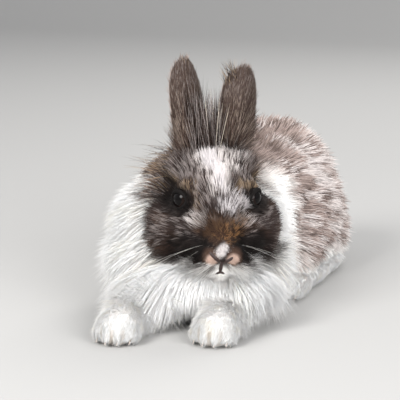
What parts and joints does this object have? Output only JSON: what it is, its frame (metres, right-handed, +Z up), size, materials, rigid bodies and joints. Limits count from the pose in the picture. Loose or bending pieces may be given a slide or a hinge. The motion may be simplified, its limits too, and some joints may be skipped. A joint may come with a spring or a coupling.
{
  "type": "lionhead rabbit model",
  "caption": "Life-size still model of a young lionhead rabbit, crouched with forepaws forward, head turned left, upright ears and a full mane.",
  "frame": {"origin": "on the floor under the belly, at the middle of the belly's flat", "axes": "+Z up, -Y the way the rabbit's body faces, +X to the rabbit's left"},
  "size_m": [0.1362, 0.2946, 0.1656],
  "materials": {
    "marled_coat": "soft matt fur, ticked grey brown and white",
    "white_coat": "soft matt white wool",
    "ear_coat": "short ticked fur",
    "eye": "wet gloss, dark brown"
  },
  "bodies": {
    "root": {"torso": "marled_coat", "thigh_left": "marled_coat", "thigh_right": "marled_coat", "hind_foot_left": "white_coat", "hind_foot_right": "white_coat", "foreleg_left": "white_coat", "foreleg_right": "white_coat", "tail": "marled_coat", "head": "marled_coat", "eye_left": "eye", "eye_right": "eye", "ear_left": "ear_coat", "ear_right": "ear_coat", "mane": "white_coat", "forelock": "marled_coat"}
  },
  "joints": []
}
